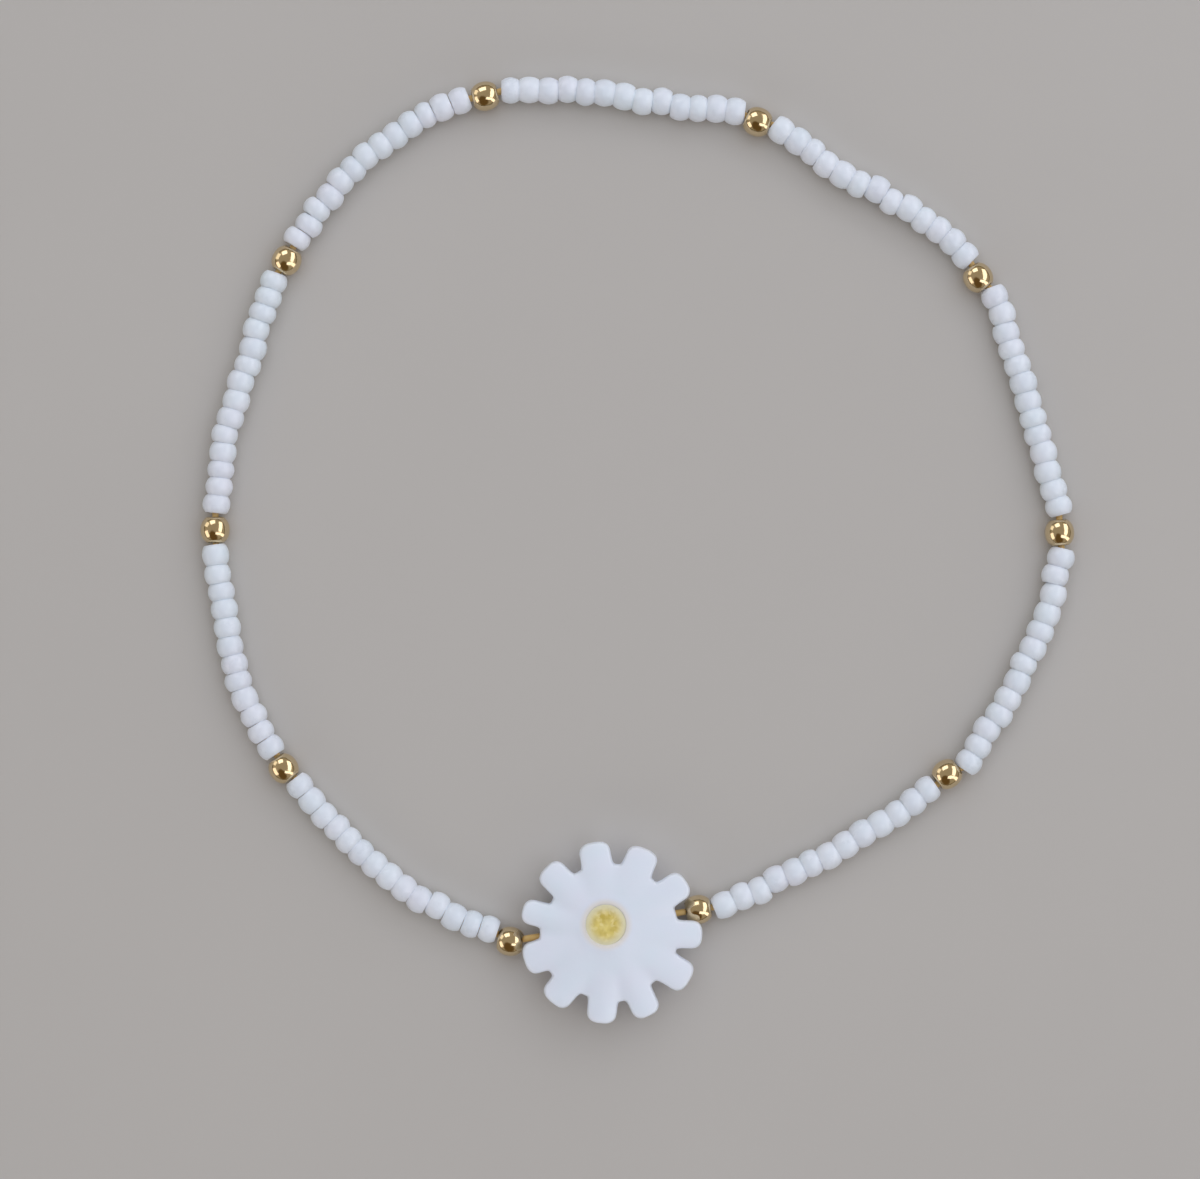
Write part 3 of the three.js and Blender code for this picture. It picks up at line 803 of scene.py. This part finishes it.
# Soft panels round the bracelet. azimuth: degrees anticlockwise from +X; elevation: degrees;
# wide, tall and away in millimetres; spin: degrees the panel is turned in its own plane;
# glow: brightness of the panel itself. Mirrored panels show in polished surfaces only, and
# the others only light dull ones.
softPanels = [
    dict(name="backWindow", azimuth=110, elevation=34, wide=310, tall=270, away=520, spin=0,
         glow=1.28, tint=(1.0, 0.98, 0.97), mirrored=True),
    dict(name="sideWindow", azimuth=25, elevation=36, wide=660, tall=265, away=520, spin=-32,
         glow=1.28, tint=(1.0, 0.98, 0.97), mirrored=True),
    dict(name="highStrip", azimuth=-40, elevation=52, wide=165, tall=410, away=520, spin=31,
         glow=1.25, tint=(1.0, 0.98, 0.98), mirrored=True),
    dict(name="lowStrip", azimuth=-31, elevation=15, wide=160, tall=300, away=520, spin=0,
         glow=1.2, tint=(1.04, 0.97, 0.93), mirrored=True),
    dict(name="leftPanel", azimuth=203, elevation=22, wide=340, tall=250, away=520, spin=0,
         glow=0.98, tint=(1.07, 0.95, 0.9), mirrored=True),
    dict(name="farLeftPanel", azimuth=152, elevation=16, wide=240, tall=270, away=520, spin=0,
         glow=0.7, tint=(1.0, 0.97, 0.9), mirrored=True),
    dict(name="ceiling", azimuth=60, elevation=72, wide=900, tall=900, away=520, spin=0,
         glow=0.7, tint=(0.82, 0.94, 1.2), mirrored=False),
    dict(name="backFill", azimuth=60, elevation=22, wide=560, tall=200, away=330, spin=0,
         glow=0.6, tint=(0.92, 0.95, 1.06), mirrored=False),
    dict(name="frontFill", azimuth=-100, elevation=18, wide=900, tall=300, away=520, spin=0,
         glow=0.72, tint=(0.92, 0.95, 1.06), mirrored=False),
]
wattsPerGlow = 4      # for one square metre of panel


def makePanel(panel):
    lamp = bpy.data.lights.new(panel["name"], "AREA")
    lamp.shape = "RECTANGLE"
    lamp.size, lamp.size_y = panel["wide"] * millimetre, panel["tall"] * millimetre
    lamp.energy = panel["glow"] * wattsPerGlow * lamp.size * lamp.size_y
    lamp.color = panel["tint"]
    azimuth, elevation, spin = np.radians((panel["azimuth"], panel["elevation"], panel["spin"]))
    level = np.cos(elevation)
    away = Vector((np.cos(azimuth) * level, np.sin(azimuth) * level, np.sin(elevation)))
    across = Vector((-np.sin(azimuth), np.cos(azimuth), 0.0))
    wide = across * np.cos(spin) + away.cross(across) * np.sin(spin)
    light = bpy.data.objects.new(panel["name"], lamp)
    light.rotation_euler = Matrix((wide, away.cross(wide), away)).transposed().to_euler()
    light.location = away * panel["away"] * millimetre
    light.visible_glossy = panel["mirrored"]
    light.visible_diffuse = not panel["mirrored"]
    bpy.context.scene.collection.objects.link(light)


# The room itself: a dim upright band on one side, and a dim skirting round the horizon.
# towards: middle of the band; beside: square to it; narrowing: how much the band is slimmer
# than it is tall; skirting: sines of the elevations between which the skirting fades out.
room = dict(
    bright=(0.37, 0.33, 0.265), dim=(0.125, 0.078, 0.03), low=(0.14, 0.12, 0.07),
    towards=(-0.2, -0.7, 0.68), beside=(0.937, 0.167, 0.309), narrowing=0.52, band=(0.66, 0.85),
    skirting=(0.06, 0.2),
)


def makeRoom():
    world = bpy.data.worlds.new("dimRoom")
    world.use_nodes = True
    tree = world.node_tree
    background = next(node for node in tree.nodes if node.type == "BACKGROUND")
    way = addNode(tree, "TexCoord").outputs["Generated"]
    facing, beside = (
        addNode(tree, "VectorMath", {0: way, 1: room[side]}, operation="DOT_PRODUCT").outputs["Value"]
        for side in ("towards", "beside")
    )
    squared = addNode(tree, "Math", {0: beside, 1: beside}, operation="MULTIPLY")
    slimmed = addNode(tree, "Math", {
        0: squared.outputs[0], 1: -room["narrowing"], 2: facing,
    }, operation="MULTIPLY_ADD")
    band = addNode(tree, "MapRange", {
        "Value": slimmed.outputs[0], "From Min": room["band"][0], "From Max": room["band"][1],
    }, interpolation_type="SMOOTHERSTEP")
    height = addNode(tree, "SeparateXYZ", {"Vector": way}).outputs["Z"]
    skirting = addNode(tree, "MapRange", {
        "Value": height, "From Min": room["skirting"][0], "From Max": room["skirting"][1],
        "To Min": 1.0, "To Max": 0.0,
    }, interpolation_type="SMOOTHERSTEP")
    colour = mixColour(tree, skirting.outputs[0], (*room["bright"], 1), (*room["low"], 1))
    colour = mixColour(tree, band.outputs[0], colour, (*room["dim"], 1))
    tree.links.new(colour, background.inputs["Color"])
    background.inputs["Strength"].default_value = 1.0
    bpy.context.scene.world = world


def makeTable(material):
    reach = 0.9      # metres
    corners = [(-reach, -reach, 0), (reach, -reach, 0), (reach, reach, 0), (-reach, reach, 0)]
    mesh = bpy.data.meshes.new("tableTop")
    mesh.from_pydata(corners, [], [(0, 1, 2, 3)])
    mesh.materials.append(material)
    table = bpy.data.objects.new("tableTop", mesh)
    bpy.context.scene.collection.objects.link(table)


makeCamera()
for panel in softPanels:
    makePanel(panel)
makeRoom()
makeTable(paleTable())
print("stage: camera, lights and table ready")

glass, gold, white = seedGlass(), polishedGold(), flowerWhite()
yellow, honeyAndReflectedGold = glitterYellow(), honeyAndReflectedGoldElastic()
print("stage: materials ready")


# Where the string goes next from a gold bead: the nearest seed, or the mouth of the daisy's
# bore, on a line that reaches the bore's height halfway to the gold bead on the other side.
def stringPoint(station, other, seed):
    if seed:
        return np.array((*seed, seedBead["radius"]))
    start = np.array((*station["gold"], goldBead["radius"]))
    end = np.array((*other["gold"], 2 * daisyBead["boreHeight"] - goldBead["radius"]))
    return start + (end - start) * elastic["boreMouth"] / np.linalg.norm(end - start)


# Each station's gold bead faces along the string and the elastic swings a little inside it,
# towards its neighbours. Then come the run's seeds or the daisy, and the elastic's points
# through them.
route = []
for index, station in enumerate(stations):
    number = index + 1
    before, after = stations[index - 1], stations[number % len(stations)]
    comesFrom = stringPoint(station, before, before.get("last"))
    goesTo = stringPoint(station, after, station.get("first"))
    heading = np.arctan2(goesTo[1] - comesFrom[1], goesTo[0] - comesFrom[0])
    ball = goldBall(f"gold_ball_{number}", station["gold"], heading)
    settle(ball, gold, "gold_metal", f"gold_bead_{number}")
    middle = np.array((*station["gold"], goldBead["radius"]))
    swing = ((comesFrom + goesTo) / 2 - middle) / 2
    swing *= min(1, elastic["swing"] / np.linalg.norm(swing))
    if not before["seeds"]:
        route.append(comesFrom)
    route.append(middle + swing)
    if station["seeds"]:
        run = seedRun(f"white_seeds_{number}", station, index)
        settle(run, glass, "seed_glass", f"seed_run_{number}")
        middles = seedsOf(station, index)["middle"]
        through = runLine(station, np.union1d(middles[::elastic["stride"]], middles[-1]))[0]
        route.extend(np.column_stack((through, np.full(len(through), seedBead["radius"]))))
    else:
        halfway = (np.array(station["gold"]) + np.array(after["gold"])) / 2
        route.extend((goesTo, np.array((*halfway, daisyBead["boreHeight"]))))
        flower = daisyFlower("daisy_flower", after["gold"], station["gold"])
        settle(flower, white, "daisy_white", "daisy")
        settle(daisyEye("daisy_eye"), yellow, "daisy_yellow", "daisy_centre")
print("stage: beads and daisy ready")

loop = tubeLoop("elastic_loop", smoothLoop(np.array(route), elastic["perPoint"]))
settle(loop, honeyAndReflectedGold, "elastic", "elastic_cord")
print("stage: elastic ready")
